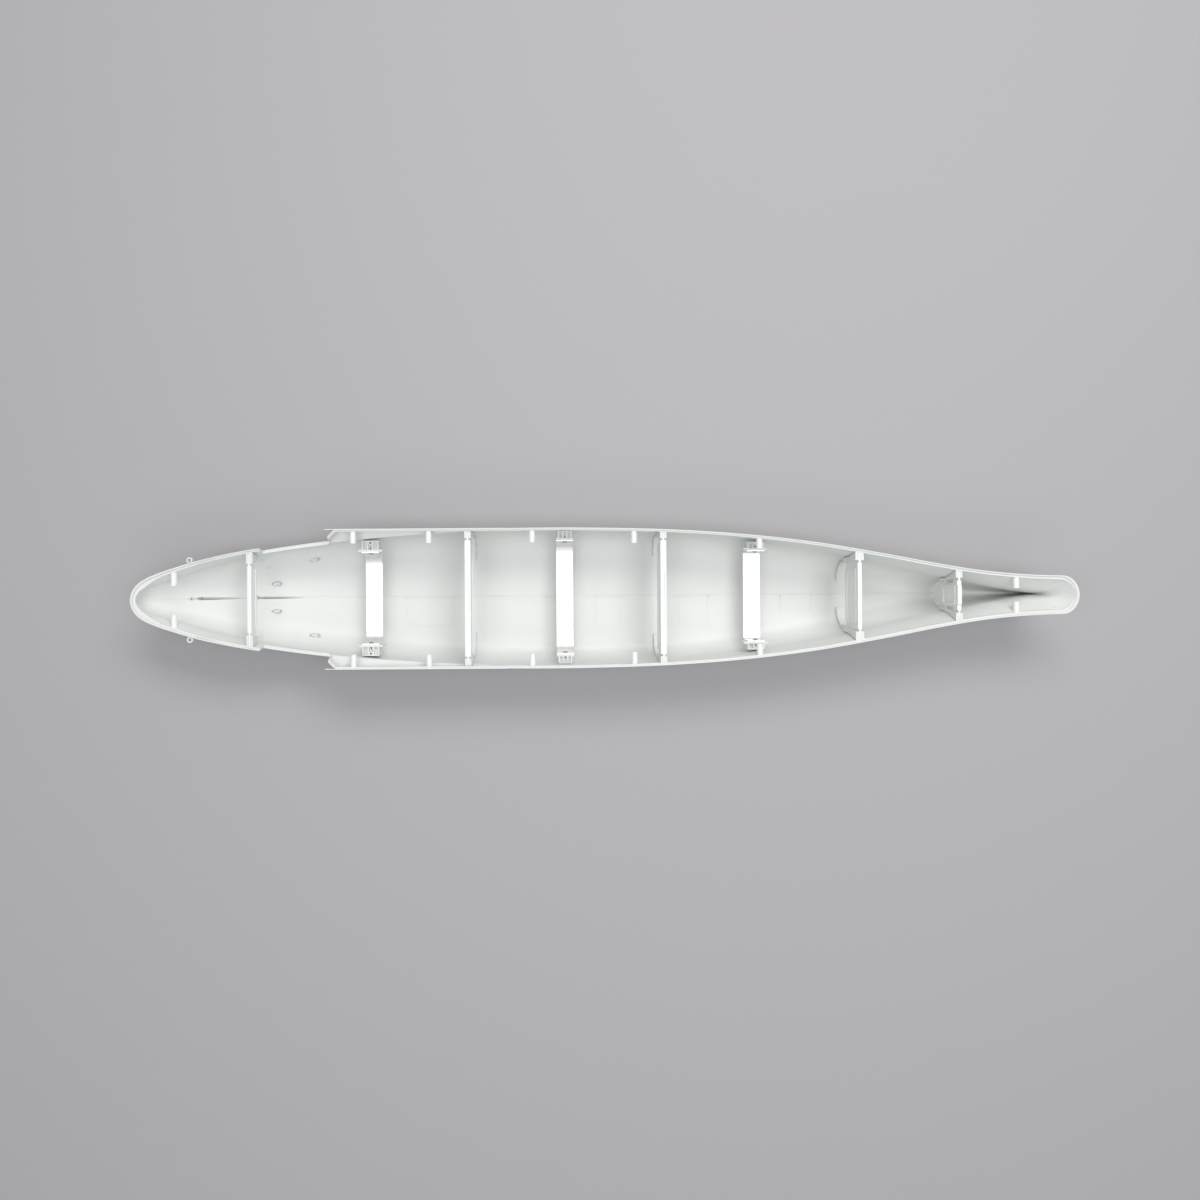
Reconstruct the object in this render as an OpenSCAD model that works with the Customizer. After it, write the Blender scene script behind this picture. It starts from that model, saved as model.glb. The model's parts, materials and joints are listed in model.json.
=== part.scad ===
// Open hull of a large model battleship: a moulded shell with its deck frames, metal straps,
// strap brackets, deck pegs, and shaft and rudder bushes. The shell is drawn in six lengths.
// X runs from the stern to the bow, Y to port and Z up. The origin is on the keel at mid-length.

/* [Hull] */
// Overall length of the hull
hull_length = 1315; // [1200:5:1450]
// Greatest width of the hull
hull_beam = 195; // [180:1:215]
// Height of the rim amidships above the keel
hull_depth = 95; // [88:1:110]
// Thickness of the moulded shell
shell_wall = 2.4; // [1.8:0.1:3.2]
// How far the rim drops at the two boat bays
boat_bay_drop = 22; // [14:1:26]

/* [Frames and straps] */
// Thickness of the web of each plastic frame
frame_web = 2.4; // [1.6:0.1:3.2]
// Width of the flange along the top and bottom of each frame
flange_width = 5.6; // [4:0.1:7]
// Width of each metal strap
strap_width = 24; // [16:1:28]
// Thickness of each metal strap
strap_thickness = 1.6; // [1:0.1:2.5]
// Inside radius of the bends in the aft and middle straps
strap_bend = 17; // [12:1:18]

/* [Fittings] */
// Diameter of the horizontal deck pegs
peg_diameter = 8.6; // [6:0.1:10]
// Bore for each propeller shaft
shaft_bore = 4; // [3:0.5:5]
// Bore for each rudder post
rudder_bore = 3; // [2:0.5:4]

/* [Hidden] */

$fn = 48;
half_length = hull_length / 2;
half_beam = hull_beam / 2;
gap = 0.3;

// Table of offsets. Each row is the station, the rim and waist half-breadths, the flat of the
// bottom, the power of the bilge curve, the height of the bottom and the height of the rim.
STATION = 0;
RIM = 1;
WAIST = 2;
FLAT = 3;
POWER = 4;
BOTTOM = 5;
SHEER = 6;
offsets = [
    [-1.00, 0.292, 0.195, 0.02, 1.9, 0.640, 0.950],
    [-0.965, 0.325, 0.240, 0.03, 1.9, 0.540, 0.946],
    [-0.93, 0.412, 0.315, 0.04, 1.9, 0.450, 0.940],
    [-0.85, 0.574, 0.480, 0.06, 2.0, 0.330, 0.928],
    [-0.75, 0.712, 0.655, 0.10, 2.1, 0.190, 0.920],
    [-0.60, 0.845, 0.815, 0.22, 2.2, 0.050, 0.990],
    [-0.45, 0.925, 0.915, 0.40, 2.4, 0.000, 1.000],
    [-0.30, 0.982, 0.980, 0.56, 2.6, 0.000, 1.000],
    [-0.15, 1.000, 1.000, 0.64, 2.7, 0.000, 1.000],
    [0.00, 0.993, 0.995, 0.66, 2.7, 0.000, 1.000],
    [0.15, 0.961, 0.955, 0.60, 2.6, 0.000, 0.998],
    [0.30, 0.890, 0.860, 0.48, 2.4, 0.000, 0.992],
    [0.45, 0.771, 0.710, 0.32, 2.2, 0.000, 0.988],
    [0.60, 0.595, 0.490, 0.16, 2.0, 0.000, 1.000],
    [0.70, 0.464, 0.340, 0.08, 1.9, 0.000, 1.010],
    [0.80, 0.352, 0.200, 0.03, 1.8, 0.000, 1.022],
    [0.90, 0.289, 0.090, 0.02, 1.7, 0.000, 1.036],
    [1.00, 0.267, 0.020, 0.02, 1.6, 0.000, 1.050]
];

// Profile of the stem: height above the keel, then distance from mid-length.
stem_profile = [
    [0.00, 0.935],
    [0.08, 0.968],
    [0.17, 0.981],
    [0.29, 0.974],
    [0.42, 0.960],
    [0.56, 0.963],
    [0.80, 0.980],
    [1.05, 1.000]
];

function row_below(table, at) = max(concat([0], [for (i = [0 : len(table) - 2]) if (table[i][0] <= at) i]));

function slope(table, i, column) =
    let (low = max(i - 1, 0), high = min(i + 1, len(table) - 1))
    (table[high][column] - table[low][column]) / (table[high][0] - table[low][0]);

// Smooth curve through one column of a table.
function curve(table, at, column) =
    let (
        i = row_below(table, at),
        width = table[i + 1][0] - table[i][0],
        u = min(max((at - table[i][0]) / width, 0), 1),
        first = table[i][column],
        last = table[i + 1][column],
        first_slope = slope(table, i, column) * width,
        last_slope = slope(table, i + 1, column) * width
    )
    first * (2 * u * u * u - 3 * u * u + 1) + first_slope * (u * u * u - 2 * u * u + u)
        + last * (3 * u * u - 2 * u * u * u) + last_slope * (u * u * u - u * u);

function blend(at, start, end) = min(max((at - start) / (end - start), 0), 1);

// Rounding of the plan at the two ends.
stern_round = 30;
bow_round = 22;
function end_round(x) =
    let (
        aft = blend(x, -half_length, -half_length + stern_round),
        fore = blend(-x, -half_length, -half_length + bow_round)
    )
    sqrt(aft * (2 - aft)) * sqrt(fore * (2 - fore));

waist_ratio = 0.55;
flare_power = 1.5;
function offset_at(x, column) = curve(offsets, x / half_length, column);
function bottom_z(x) = max(hull_depth * offset_at(x, BOTTOM), 0);
function sheer_z(x) = hull_depth * offset_at(x, SHEER);
function waist_z(x) = bottom_z(x) + waist_ratio * (sheer_z(x) - bottom_z(x));

// Half-breadth of the moulded side at one height, drawn in from the outer surface by an inset.
function side_y(x, z, inset) =
    let (
        low = bottom_z(x) + floor_rise(x, inset),
        waist = waist_z(x),
        power = offset_at(x, POWER),
        flat = flat_y(x, inset),
        at_waist = waist_y(x, inset),
        at_rim = rim_y(x, inset),
        lower = 1 - blend(z, low, waist),
        upper = max(z - waist, 0) / (sheer_z(x) - waist)
    )
    z < waist
        ? flat + (at_waist - flat) * pow(1 - pow(lower, power), 1 / power)
        : at_waist + (at_rim - at_waist) * pow(upper, flare_power);

stem_bar = 1.6;
function rim_y(x, inset) = max((half_beam * offset_at(x, RIM) - inset) * end_round(x), stem_bar - inset / 4);
function waist_y(x, inset) = max((half_beam * offset_at(x, WAIST) - inset) * end_round(x), stem_bar - inset / 4);
function flat_y(x, inset) = min(max(half_beam * offset_at(x, FLAT) - inset / 3, stem_bar), waist_y(x, inset));

// The floor is thicker where the sides run down to a narrow vee.
most_floor = 9;
function floor_rise(x, inset) =
    let (steep = (waist_z(x) - bottom_z(x)) / waist_y(x, inset) / offset_at(x, POWER))
    min(inset * sqrt(1 + steep * steep), most_floor);

// Rim height with the boat bays, and the shelf that carries the overhanging side plates.
bay_aft = -0.727 * half_length;
bay_fore = -0.581 * half_length;
plate_start = bay_fore - 3;
plate_full = bay_fore + 11;
plate_merge = -0.2 * half_length;
shelf_lip = 1.5;
bay_rim = hull_depth - boat_bay_drop;
function rim_z(x) = (x < bay_aft || x > bay_fore) ? sheer_z(x) : bay_rim;
function shelf_z(x) = max(bay_rim - 2 * shelf_lip, waist_z(x) + 4);
function plate_y(x, z, inset) =
    let (side = side_y(x, z, inset), plate = half_beam - inset)
    (x > plate_start && x < plate_merge) ? side + max(plate - side, 0) * blend(x, plate_start, plate_full) : side;

// The stem rakes, so the last stations fan out to follow its profile.
fan_start = 0.79 * half_length;
end_wall = 3;
function stem_x(z) = half_length * curve(stem_profile, z / hull_depth, 1);
function fan_x(x, z, inset) =
    let (
        end = stem_x(z) - (inset > 0 ? end_wall + most_floor * blend(-z, -sheer_z(x), 0) : 0),
        share = (x - fan_start) / (half_length - fan_start),
        aft_share = (-x - fan_start) / (half_length - fan_start),
        aft_end = half_length - (inset > 0 ? end_wall : 0)
    )
    x > fan_start ? fan_start + share * (end - fan_start)
        : -x > fan_start ? -fan_start - aft_share * (aft_end - fan_start) : x;

// Hollow fairings ahead of the two rudder posts.
main_post_x = -0.899 * half_length;
second_post_x = -0.767 * half_length;
fairing_drop = 13;
fairing_length = 0.1 * half_length;
post_clearance = 4;
function fairing(x, post) =
    let (along = (x - post - post_clearance) / fairing_length)
    (along < 0 || along > 1) ? 0 : fairing_drop * (1 - along) * min(along * 12, 1);
function keel_drop(x) = fairing(x, main_post_x) + 0.8 * fairing(x, second_post_x);

bulb_half = 6.5;
bulb_height = 0.17;
function bulb(x, z) =
    let (rise = (z / hull_depth - bulb_height) / 0.13, along = blend(x, 0.84 * half_length, 0.95 * half_length))
    bulb_half * along * end_round(x) * exp(-rise * rise);

bilge_angles = [0 : 15 : 90];
lip_width = 1.3;
ledge_width = 3.6;

// One half of the shell's section, from the keel up the outside and down the inside.
function half_section(x) =
    let (
        rim = rim_z(x),
        shelf = shelf_z(x),
        band = min(rim - shelf - shelf_lip, 7.5),
        step = 0.3 * band,
        outer_curve = bilge_points(x, 0),
        inner_curve = bilge_points(x, shell_wall),
        inner_shelf = shelf + min(shell_wall, step),
        upper = (shelf + shelf_lip + rim) / 2,
        waist = waist_z(x),
        inner_floor = bottom_z(x) + floor_rise(x, shell_wall)
    )
    concat(
        [
            [0.7 * stem_bar, bottom_z(x) - keel_drop(x), 0],
            [0.9 * stem_bar, bottom_z(x) + end_lift(x) / 2, 0]
        ],
        outer_curve,
        [
            [side_y(x, (waist + shelf) / 2, 0), (waist + shelf) / 2, 0],
            [side_y(x, shelf, 0), shelf, 0],
            [plate_y(x, shelf + shelf_lip, 0), shelf + shelf_lip, 0],
            [plate_y(x, upper, 0), upper, 0],
            [plate_y(x, rim, 0), rim, 0],
            [plate_y(x, rim, lip_width), rim, lip_width],
            [plate_y(x, rim - step, lip_width), rim - step, lip_width],
            [plate_y(x, rim - step, ledge_width), rim - step - end_lift(x), ledge_width],
            [plate_y(x, rim - 2 * step, shell_wall), rim - 2 * step, shell_wall],
            [plate_y(x, inner_shelf + step / 3, shell_wall), inner_shelf + step / 3, shell_wall],
            [side_y(x, inner_shelf, shell_wall), inner_shelf, shell_wall],
            [side_y(x, (waist + inner_shelf) / 2, shell_wall), (waist + inner_shelf) / 2, shell_wall]
        ],
        [for (i = [len(inner_curve) - 1 : -1 : 0]) inner_curve[i]],
        [
            [0.6 * stem_bar, inner_floor + end_lift(x) / 2, shell_wall],
            [0.4 * stem_bar, inner_floor - keel_drop(x), shell_wall]
        ]
    );

// The lowest points step up a little towards the ends, where the flat of the bottom runs out.
function end_lift(x) = 0.4 * (1 - end_round(x));

function bilge_points(x, inset) =
    let (low = bottom_z(x) + floor_rise(x, inset) + end_lift(x), power = offset_at(x, POWER))
    [for (a = bilge_angles)
        let (z = low + (waist_z(x) - low) * (1 - pow(cos(a), 2 / power)))
        [side_y(x, z, inset) + (inset == 0 ? bulb(x, z) : 0), z, inset]];

// The shell is drawn as six lengths that meet at these flat cuts.
stern_cut = -0.8 * half_length;
quarter_cut = -0.52 * half_length;
aft_cut = -0.18 * half_length;
middle_cut = 0.18 * half_length;
fore_cut = 0.5 * half_length;

function between(start, end, count) = [for (i = [0 : count - 1]) start + (end - start) * i / count];

// Stations close up towards the ends and stand in pairs at each step of the rim.
step_run = 0.4;
end_spread = [0, 0.6, 2.5, 6, 12, 20];
end_run = 30;
stern_stations = concat(
    [for (d = end_spread) -half_length + d],
    between(-half_length + end_run, stern_cut, 6),
    [stern_cut]
);
quarter_stations = concat(
    between(stern_cut, bay_aft - step_run, 2),
    [bay_aft - step_run],
    between(bay_aft + step_run, plate_start, 3),
    [plate_start, bay_fore - step_run, bay_fore + step_run],
    between(plate_full, quarter_cut, 2),
    [quarter_cut]
);
aft_stations = between(quarter_cut, aft_cut, 7);
middle_stations = between(aft_cut, middle_cut, 6);
fore_stations = between(middle_cut, fore_cut, 6);
bow_stations = concat(
    between(fore_cut, fan_start, 5),
    between(fan_start, half_length - end_run, 5),
    [half_length - end_run],
    [for (i = [len(end_spread) - 1 : -1 : 0]) half_length - end_spread[i]]
);

// A length of the shell: skins between its stations, a strip along the keel outside and inside,
// and a cap over the wall at each end.
module shell_length(stations) {
    sections = [for (x = stations) half_section(x)];
    n = len(stations);
    k = len(sections[0]);
    last = n - 1;
    points = [
        for (i = [0 : last])
            for (p = sections[i])
                for (side = [1, -1])
                    [fan_x(stations[i], p[1], p[2]), side * p[0], p[1]]
    ];
    function at(i, j, side) = 2 * (i * k + j) + side;
    function quad(a, b, c, d) = [[a, b, c], [a, c, d]];
    skins = [
        for (i = [0 : n - 2])
            for (j = [0 : k - 2])
                each concat(
                    quad(at(i, j, 0), at(i + 1, j, 0), at(i + 1, j + 1, 0), at(i, j + 1, 0)),
                    quad(at(i, j, 1), at(i, j + 1, 1), at(i + 1, j + 1, 1), at(i + 1, j, 1))
                )
    ];
    keel_strips = [
        for (i = [0 : n - 2])
            each concat(
                quad(at(i, 0, 0), at(i, 0, 1), at(i + 1, 0, 1), at(i + 1, 0, 0)),
                quad(at(i, k - 1, 0), at(i + 1, k - 1, 0), at(i + 1, k - 1, 1), at(i, k - 1, 1))
            )
    ];
    // The wall's outer and inner points pair off, so a cap is a ladder of quads across the wall.
    wall_caps = [
        for (j = [0 : k / 2 - 2])
            each concat(
                quad(at(0, j, 0), at(0, j + 1, 0), at(0, k - 2 - j, 0), at(0, k - 1 - j, 0)),
                quad(at(0, j, 1), at(0, k - 1 - j, 1), at(0, k - 2 - j, 1), at(0, j + 1, 1)),
                quad(at(last, j, 0), at(last, k - 1 - j, 0), at(last, k - 2 - j, 0), at(last, j + 1, 0)),
                quad(at(last, j, 1), at(last, j + 1, 1), at(last, k - 2 - j, 1), at(last, k - 1 - j, 1))
            )
    ];
    keel_caps = concat(
        quad(at(0, 0, 0), at(0, k - 1, 0), at(0, k - 1, 1), at(0, 0, 1)),
        quad(at(last, 0, 0), at(last, 0, 1), at(last, k - 1, 1), at(last, k - 1, 0))
    );
    polyhedron(points = points, faces = concat(skins, keel_strips, wall_caps, keel_caps));
}

// Draws an outline given as [across, up] and gives it a thickness along the hull, centred on x.
module plate_across(x, thickness) {
    translate([x - thickness / 2, 0, 0])
        rotate([90, 0, 90])
            linear_extrude(thickness)
                children();
}

module both_sides() {
    children();
    mirror([0, 1, 0]) children();
}

// Each propeller shaft runs down and aft through a slim bush in the floor, and the rudder posts
// pass through two upright ones.
inner_shaft = [-0.712 * half_length, 0.206 * half_beam];
outer_shaft = [-0.6265 * half_length, 0.573 * half_beam];
shaft_tilt = 12;
bush_wall = 0.6;
bush_length = 30;
post_bush_wall = 1.1;
post_bush_rise = 1.5;
mouth_rake = -28;
bush_radius = shaft_bore / 2 + bush_wall;
post_bush_radius = rudder_bore / 2 + post_bush_wall;

function floor_z(x) = bottom_z(x) + floor_rise(x, shell_wall);

// Height of the inside of the shell at any distance out from the centreline.
function inside_z(x, y) =
    let (
        flat = flat_y(x, shell_wall),
        out = blend(y, flat, waist_y(x, shell_wall)),
        power = offset_at(x, POWER)
    )
    floor_z(x) + (waist_z(x) - floor_z(x)) * (1 - pow(1 - pow(out, power), 1 / power));

// Shaft lines start at the mouth of the bush, inside the hull, and run aft and down.
module shaft_line(shaft, radius, from, to) {
    translate([shaft[0], shaft[1], inside_z(shaft[0], shaft[1]) + 0.8 * bush_radius])
        rotate([0, -90 - shaft_tilt, 0])
            translate([0, 0, from])
                cylinder(r = radius, h = to - from);
}

module post_line(x, radius, low, high) {
    translate([x, 0, low])
        cylinder(r = radius, h = high - low);
}

module drilled_shell(stations) {
    color("gainsboro")
        difference() {
            shell_length(stations);
            children();
        }
}

module shaft_holes(shaft) {
    both_sides() shaft_line(shaft, bush_radius + gap / 2, -1, bush_length + 20);
}

module post_hole(x) {
    post_line(x, post_bush_radius + gap / 2, bottom_z(x) - 5, bottom_z(x) + 30);
}

module hull_stern() {
    drilled_shell(stern_stations) post_hole(main_post_x);
}

module hull_quarter() {
    drilled_shell(quarter_stations) {
        shaft_holes(inner_shaft);
        shaft_holes(outer_shaft);
        post_hole(second_post_x);
    }
}

module hull_aft() {
    color("gainsboro") shell_length(aft_stations);
}

module hull_middle() {
    color("gainsboro") shell_length(middle_stations);
}

module hull_fore() {
    color("gainsboro") shell_length(fore_stations);
}

module hull_bow() {
    color("gainsboro") shell_length(bow_stations);
}

module shaft_bushes(shaft) {
    // The mouth is raked, so that its upper edge lies further aft.
    both_sides()
        difference() {
            shaft_line(shaft, bush_radius, 0, bush_length);
            shaft_line(shaft, shaft_bore / 2, -1, bush_length + 1);
            translate([shaft[0], shaft[1], inside_z(shaft[0], shaft[1])])
                rotate([0, mouth_rake, 0])
                    translate([0, -bush_length / 2, -bush_length])
                        cube([bush_length, bush_length, 2 * bush_length]);
        }
}

module inner_shaft_bushes() {
    color("silver") shaft_bushes(inner_shaft);
}

module outer_shaft_bushes() {
    color("silver") shaft_bushes(outer_shaft);
}

module rudder_bushes() {
    color("silver")
        for (x = [main_post_x, second_post_x])
            difference() {
                post_line(x, post_bush_radius, bottom_z(x), floor_z(x) + post_bush_rise);
                post_line(x, rudder_bore / 2, bottom_z(x) - 1, floor_z(x) + post_bush_rise + 1);
            }
}

// Frames stand across the hull in slotted guides. Each entry is the station, the height below
// the top flange, and how deep and how thick the cheeks of its guides are.
stern_frame_at = [-0.750 * half_length, 23, 16, 3];
aft_frame_at = [-0.285 * half_length, 54, 10, 3];
mid_frame_at = [0.1285 * half_length, 54, 10, 3];
fore_frame_at = [0.543 * half_length, 54, 12, 4.4];
bow_frame_at = [0.7515 * half_length, 76, 11, 3.2];
frame_drop = 2.6;
frame_end = 2;
pad_height = 4;
slot_play = 0.2;

function inner_y(x, z) = side_y(x, z, shell_wall) - gap;
function frame_top(x) = rim_z(x) - frame_drop;

// Points down the inside of the hull, from a height to a lower one, moved inwards by an inset.
side_steps = 8;
function side_run(x, from, to, inset) =
    [for (i = [0 : side_steps]) let (z = from + (to - from) * i / side_steps) [inner_y(x, z) - inset, z]];

function mirrored(run) = [for (i = [len(run) - 1 : -1 : 0]) [-run[i][0], run[i][1]]];

module frame_flange(x, z, width, half) {
    plate_across(x, width)
        translate([-half, z - frame_web])
            square([2 * half, frame_web]);
}

module frame(at, top_flange) {
    x = at[0];
    top = frame_top(x);
    low = top - at[1];
    web_end = frame_end + gap;
    run = side_run(x, top, low, web_end);
    plate_across(x, frame_web)
        polygon(concat(run, mirrored(run)));
    reach = at[2] + web_end + gap;
    frame_flange(x, top, top_flange, inner_y(x, top - frame_web) - reach);
    frame_flange(x, low + frame_web, flange_width, max(inner_y(x, low) - reach, frame_end));
}

// A raised rectangular border on the after face of a web, given its half-width and its upper
// and lower edges below the top flange.
border_width = 2.4;
border_rise = 2;
module web_border(x, half, upper, lower) {
    plate_across(x - (frame_web + border_rise) / 2, border_rise)
        difference() {
            translate([-half, frame_top(x) - lower])
                square([2 * half, lower - upper]);
            translate([border_width - half, frame_top(x) - lower + border_width])
                square([2 * (half - border_width), lower - upper - 2 * border_width]);
        }
}

module stern_frame() {
    color("whitesmoke") frame(stern_frame_at, flange_width);
}

// The aft and middle frames have a wider top flange with a groove along it.
wide_flange = 8;
groove_half = 36;
groove_width = 3;
groove_depth = 1.2;
module grooved_frame(at) {
    x = at[0];
    difference() {
        frame(at, wide_flange);
        translate([x - groove_width / 2, -groove_half, frame_top(x) - groove_depth])
            cube([groove_width, 2 * groove_half, groove_depth + 1]);
    }
}

module aft_frame() {
    color("whitesmoke") grooved_frame(aft_frame_at);
}

module mid_frame() {
    color("whitesmoke") grooved_frame(mid_frame_at);
}

module fore_frame() {
    color("whitesmoke") {
        frame(fore_frame_at, flange_width);
        web_border(fore_frame_at[0], 38, 10, 50);
    }
}

// The bow frame has a raised middle, a bordered panel and a narrow window at each side.
bow_tab_half = 14;
bow_tab_rise = 1.8;
bow_window_near = 16.5;
bow_window_far = 22;
module bow_frame() {
    x = bow_frame_at[0];
    top = frame_top(x);
    color("whitesmoke") {
        difference() {
            frame(bow_frame_at, flange_width);
            both_sides()
                translate([x - frame_web, bow_window_near, top - 42])
                    cube([2 * frame_web, bow_window_far - bow_window_near, 26]);
        }
        web_border(x, bow_tab_half, 8, 48);
        plate_across(x, flange_width)
            polygon([
                [-bow_tab_half, top], [bow_tab_half, top],
                [bow_tab_half - bow_tab_rise, top + bow_tab_rise],
                [bow_tab_rise - bow_tab_half, top + bow_tab_rise]
            ]);
    }
}

// A guide is a slotted block on the hull side that takes the end of a frame.
function cheek_x(at) = (frame_web + at[3]) / 2 + slot_play;

module guide(at, height) {
    x = at[0];
    top = frame_top(x);
    low = top - height;
    outside = side_run(x, top, low, 0);
    block = [[outside[side_steps][0] - at[2] / 2, low], [outside[0][0] - at[2], top]];
    back_line = side_run(x, low, top, frame_end);
    both_sides() {
        for (side = [-1, 1])
            plate_across(x + side * cheek_x(at), at[3])
                polygon(concat(outside, block));
        plate_across(x, 2 * cheek_x(at))
            polygon(concat(outside, back_line));
    }
}

// A solid pad carries a guide on down the bilge to the edge of the flat floor.
module bilge_pad(at) {
    x = at[0];
    power = offset_at(x, POWER);
    clear = 2 * gap;
    top = frame_top(x) - at[1] - gap;
    run = [for (a = bilge_angles)
        let (z = floor_z(x) + (waist_z(x) - floor_z(x)) * (1 - pow(cos(a), 2 / power)))
        if (z < top - pad_height)
            [side_y(x, z, shell_wall) - clear, z + clear, a]];
    under = [for (p = run) [p[0], p[1]]];
    over = [for (i = [len(run) - 1 : -1 : 0])
        [run[i][0] - pad_height * sin(run[i][2]), run[i][1] + pad_height * cos(run[i][2])]];
    both_sides()
        plate_across(x, 2 * cheek_x(at) + at[3])
            polygon(concat(under, over));
}

module ribbed_guide(at) {
    guide(at, at[1]);
    bilge_pad(at);
}

module stern_frame_guides() {
    color("lightgrey") guide(stern_frame_at, stern_frame_at[1]);
}

module aft_frame_guides() {
    color("lightgrey") ribbed_guide(aft_frame_at);
}

module mid_frame_guides() {
    color("lightgrey") ribbed_guide(mid_frame_at);
}

module fore_frame_guides() {
    color("lightgrey") ribbed_guide(fore_frame_at);
}

bow_guide_height = 56;
module bow_frame_guides() {
    color("lightgrey") guide(bow_frame_at, bow_guide_height);
}

// Each strap is a shallow U of flat metal whose legs are screwed to a pair of brackets. Each
// entry is the station, half the width over the legs and the inside radius of the bends.
aft_strap_at = [-0.499 * half_length, 66, strap_bend];
mid_strap_at = [-0.079 * half_length, 81, strap_bend];
fore_strap_at = [0.333 * half_length, 65, strap_bend / 4];
strap_top = 0.68 * hull_depth;
strap_drop = 30;
screw_drop = 5.5;
screw_radius = 1.5;
screw_head_radius = 3.4;
screw_head_height = 2.2;
screw_length = 7;

strap_low = strap_top - strap_drop;

module u_outline(half, low, top, radius) {
    translate([-half, low + radius]) square([2 * half, top - low - radius]);
    translate([-half + radius, low]) square([2 * (half - radius), radius + 1]);
    intersection() {
        for (side = [-1, 1])
            translate([side * (half - radius), low + radius]) circle(r = radius);
        translate([-half, low]) square([2 * half, top - low]);
    }
}

module screw_line(at, radius, from, to) {
    translate([at[0], at[1] + from, strap_top - screw_drop])
        rotate([-90, 0, 0])
            cylinder(r = radius, h = to - from);
}

module strap(at) {
    x = at[0];
    half = at[1];
    difference() {
        plate_across(x, strap_width)
            difference() {
                u_outline(half, strap_low, strap_top, at[2] + strap_thickness);
                u_outline(half - strap_thickness, strap_low + strap_thickness, strap_top + 1, at[2]);
            }
        both_sides() screw_line(at, screw_radius + gap / 2, -strap_thickness - 1, 1);
    }
}

module aft_strap() {
    color("silver") strap(aft_strap_at);
}

module mid_strap() {
    color("silver") strap(mid_strap_at);
}

module fore_strap() {
    color("silver") strap(fore_strap_at);
}

module strap_screws(at) {
    seat = -strap_thickness;
    both_sides() {
        screw_line(at, screw_radius, seat, seat + screw_length);
        screw_line(at, screw_head_radius, seat - screw_head_height, seat);
    }
}

module aft_strap_screws() {
    color("dimgray") strap_screws(aft_strap_at);
}

module mid_strap_screws() {
    color("dimgray") strap_screws(mid_strap_at);
}

module fore_strap_screws() {
    color("dimgray") strap_screws(fore_strap_at);
}

// A bracket carries one strap leg: a flange plate, a row of thin ribs back to the hull, a back
// plate and a shelf between the ribs. The aft pair also has an upright screw boss.
bracket_height = 22;
bracket_flange = 3;
bracket_wall = 2;
bracket_ribs = 4;
bracket_shelf_drop = 6;
boss_radius = 3.2;
boss_bore = 1.4;
boss_depth = 12;

// The back plate stands clear of the hull side at both of its ends and over its whole height.
function bracket_back(at, reach) =
    min([
        for (x = [at[0] - reach / 2, at[0] + reach / 2])
            for (z = [strap_top - bracket_height, strap_top])
                inner_y(x, z)
    ]) - gap;

module bracket(at, plate_width, reach) {
    x = at[0];
    low = strap_top - bracket_height;
    start = at[1] + gap / 3;
    depth = bracket_back(at, reach) - start;
    pitch = (reach - bracket_wall) / (bracket_ribs - 1);
    difference() {
        translate([x, start, low]) {
            translate([-plate_width / 2, 0, 0])
                cube([plate_width, bracket_flange, bracket_height]);
            for (i = [0 : bracket_ribs - 1])
                translate([i * pitch - reach / 2, 0, 0])
                    cube([bracket_wall, depth, bracket_height]);
            translate([-reach / 2, depth - bracket_wall, 0])
                cube([reach, bracket_wall, bracket_height]);
            translate([-reach / 2, 0, bracket_height - bracket_shelf_drop])
                cube([reach, depth, bracket_wall]);
        }
        screw_line(at, screw_radius + gap / 2, -1, screw_length);
    }
}

wide_bracket_plate = 34;
wide_bracket_reach = 24;
aft_boss_y = bracket_back(aft_strap_at, wide_bracket_reach) - boss_radius;
module aft_bracket_port() {
    color("lightgrey")
        difference() {
            union() {
                bracket(aft_strap_at, wide_bracket_plate, wide_bracket_reach);
                translate([aft_strap_at[0], aft_boss_y, strap_top - bracket_height])
                    cylinder(r = boss_radius, h = bracket_height);
            }
            translate([aft_strap_at[0], aft_boss_y, strap_top - boss_depth])
                cylinder(r = boss_bore, h = boss_depth + 1);
        }
}

module aft_bracket_starboard() {
    mirror([0, 1, 0]) aft_bracket_port();
}

mid_bracket_reach = 19.5;
module mid_bracket_port() {
    color("lightgrey") bracket(mid_strap_at, strap_width, mid_bracket_reach);
}

module mid_bracket_starboard() {
    mirror([0, 1, 0]) mid_bracket_port();
}

module fore_bracket_port() {
    color("lightgrey") bracket(fore_strap_at, wide_bracket_plate, wide_bracket_reach);
}

module fore_bracket_starboard() {
    mirror([0, 1, 0]) fore_bracket_port();
}

// Round pegs stand straight in from the side, just under the deck. Their outer ends are cut to
// the slope of the hull side. Each entry is the station and the length.
peg_places = [
    [-0.9115, 17], [-0.5281, 17], [-0.368, 17], [-0.149, 17], [0.067, 17], [0.333, 14], [0.873, 13]
];
peg_drop = 2.6;

module pegs() {
    reach = peg_diameter / 2;
    for (peg = peg_places) {
        x = peg[0] * half_length;
        length = peg[1];
        z = rim_z(x) - peg_drop - reach;
        taper = (plate_y(x + reach, z, shell_wall) - plate_y(x - reach, z, shell_wall)) / peg_diameter;
        flare = (plate_y(x, z + reach, shell_wall) - plate_y(x, z - reach, shell_wall)) / peg_diameter;
        translate([x, plate_y(x, z, shell_wall) - 2 * gap, z])
            difference() {
                translate([0, -length, 0])
                    rotate([-90, 0, 0])
                        cylinder(d = peg_diameter, h = 2 * length);
                rotate([-atan(flare), 0, atan(taper)])
                    translate([-length, 0, -length])
                        cube(2 * length);
            }
    }
}

module deck_pegs_port() {
    color("white") pegs();
}

module deck_pegs_starboard() {
    mirror([0, 1, 0]) deck_pegs_port();
}

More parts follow.
